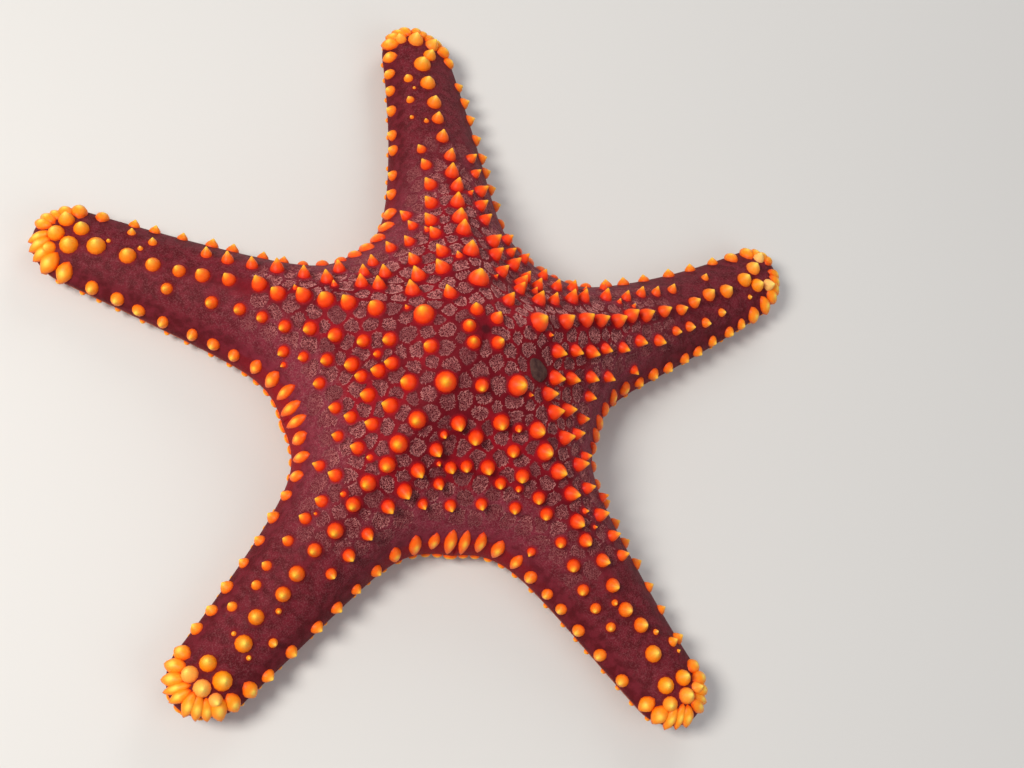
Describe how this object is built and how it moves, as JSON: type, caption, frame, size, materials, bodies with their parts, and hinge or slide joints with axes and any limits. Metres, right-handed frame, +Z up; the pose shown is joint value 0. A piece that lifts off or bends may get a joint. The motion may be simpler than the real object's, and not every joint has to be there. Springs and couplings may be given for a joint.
{
  "type": "starfish",
  "caption": "Life-size cushion starfish with a high domed disc, tapering arms and rows of thorny tubercles, at rest on its underside.",
  "frame": {"origin": "on the floor under the middle of the whole animal's box", "axes": "+Z up from the mouth to the top of the disc; arm b points to +X and a little to +Y, and arm a points to +Y"},
  "size_m": [0.2754, 0.2624, 0.0587],
  "materials": {
    "flesh": "wet crimson skin over a limy mesh of ridges, with mauve-grey grained fields",
    "tubercle": "satin thorny knobs, red-orange at the foot and yellow at the tip",
    "grain": "fine pale mauve grains on the soft fields between the ridges",
    "underside": "grained orange-red underside plates and spines",
    "tube_foot": "soft cream tube feet in the arm grooves",
    "sieve": "dull mauve porous limy plate with fine winding furrows"
  },
  "bodies": {
    "root": {"disc": "flesh", "arm_a": "flesh", "arm_b": "flesh", "arm_c": "flesh", "arm_d": "flesh", "arm_e": "flesh", "sieve_plate": "sieve"}
  },
  "joints": []
}
